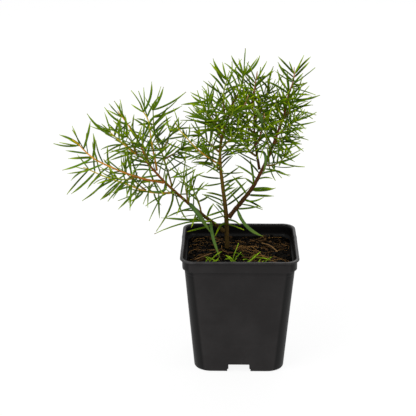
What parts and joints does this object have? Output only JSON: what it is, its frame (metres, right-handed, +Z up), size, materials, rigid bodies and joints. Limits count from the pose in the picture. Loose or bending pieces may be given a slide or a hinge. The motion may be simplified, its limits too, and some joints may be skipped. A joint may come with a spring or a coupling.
{
  "type": "potted grevillea",
  "caption": "Young needle-leaved grevillea shrub, a leaning left limb and an upright crown, in a tapered square black plastic nursery pot with potting mix.",
  "frame": {"origin": "centre of the pot's flat underside, on the surface it stands on", "axes": "+Z up along the trunk, -Y towards the front of the plant, +X to its right, away from the leaning limb"},
  "size_m": [0.221, 0.1158, 0.273],
  "materials": {
    "pot_plastic": "satin",
    "potting_mix": "rough",
    "bark": "rough",
    "foliage": "satin",
    "dry_straw": "matt"
  },
  "bodies": {
    "root": {"crown_shoot_1": "foliage", "crown_shoot_10": "foliage", "crown_shoot_2": "foliage", "crown_shoot_3": "foliage", "crown_shoot_4": "foliage", "crown_shoot_5": "foliage", "crown_shoot_6": "foliage", "crown_shoot_7": "foliage", "crown_shoot_8": "foliage", "crown_shoot_9": "foliage", "fallen_needle_1": "foliage", "fallen_needle_2": "foliage", "fallen_needle_3": "foliage", "fallen_needle_4": "foliage", "leader_spur": "foliage", "leader_twig": "foliage", "left_hanging_twig": "foliage", "left_inner_twig": "foliage", "left_limb": "bark", "left_lower_twig": "foliage", "left_shoot_1": "foliage", "left_shoot_10": "foliage", "left_shoot_2": "foliage", "left_shoot_3": "foliage", "left_shoot_4": "foliage", "left_shoot_5": "foliage", "left_shoot_6": "foliage", "left_shoot_7": "foliage", "left_shoot_8": "foliage", "left_shoot_9": "foliage", "left_tip_twig": "foliage", "left_upper_twig": "foliage", "middle_branch": "bark", "middle_shoot_1": "foliage", "middle_shoot_2": "foliage", "middle_shoot_3": "foliage", "middle_shoot_4": "foliage", "middle_shoot_5": "foliage", "middle_shoot_6": "foliage", "pot": "pot_plastic", "potting_mix": "potting_mix", "right_limb": "bark", "right_shoot_1": "foliage", "right_shoot_2": "foliage", "right_shoot_3": "foliage", "right_shoot_4": "foliage", "right_shoot_5": "foliage", "right_shoot_6": "foliage", "right_shoot_7": "foliage", "right_shoot_8": "foliage", "right_shoot_9": "foliage", "straw_1": "dry_straw", "straw_2": "dry_straw", "straw_3": "dry_straw", "trunk_and_leader": "bark"}
  },
  "joints": []
}
